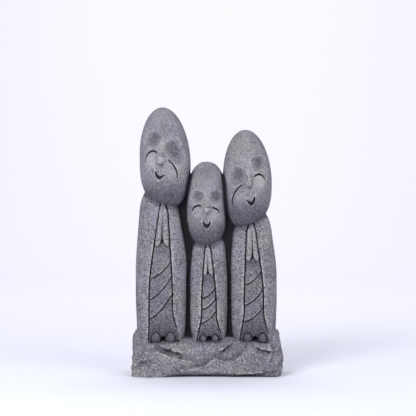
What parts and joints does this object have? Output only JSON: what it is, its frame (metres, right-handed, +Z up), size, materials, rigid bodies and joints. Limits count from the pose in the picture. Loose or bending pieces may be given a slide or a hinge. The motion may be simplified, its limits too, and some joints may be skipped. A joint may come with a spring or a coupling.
{
  "type": "stone jizo statue group",
  "caption": "Egg-headed smiling figures in long robes, hands in prayer, side by side on a shared rough rock base, cast together in grey stone; stands by its own weight.",
  "frame": {"origin": "the middle of the flat underside of the base", "axes": "+Z up, the faces look along -Y, +X to the right as seen from the front"},
  "size_m": [0.2194, 0.1139, 0.393],
  "materials": {
    "cast_stone": "cast and lightly pitted, matt grey, dark in the hollows and pale on the raised edges"
  },
  "bodies": {
    "root": {"jizo_statue": "cast_stone"}
  },
  "joints": []
}
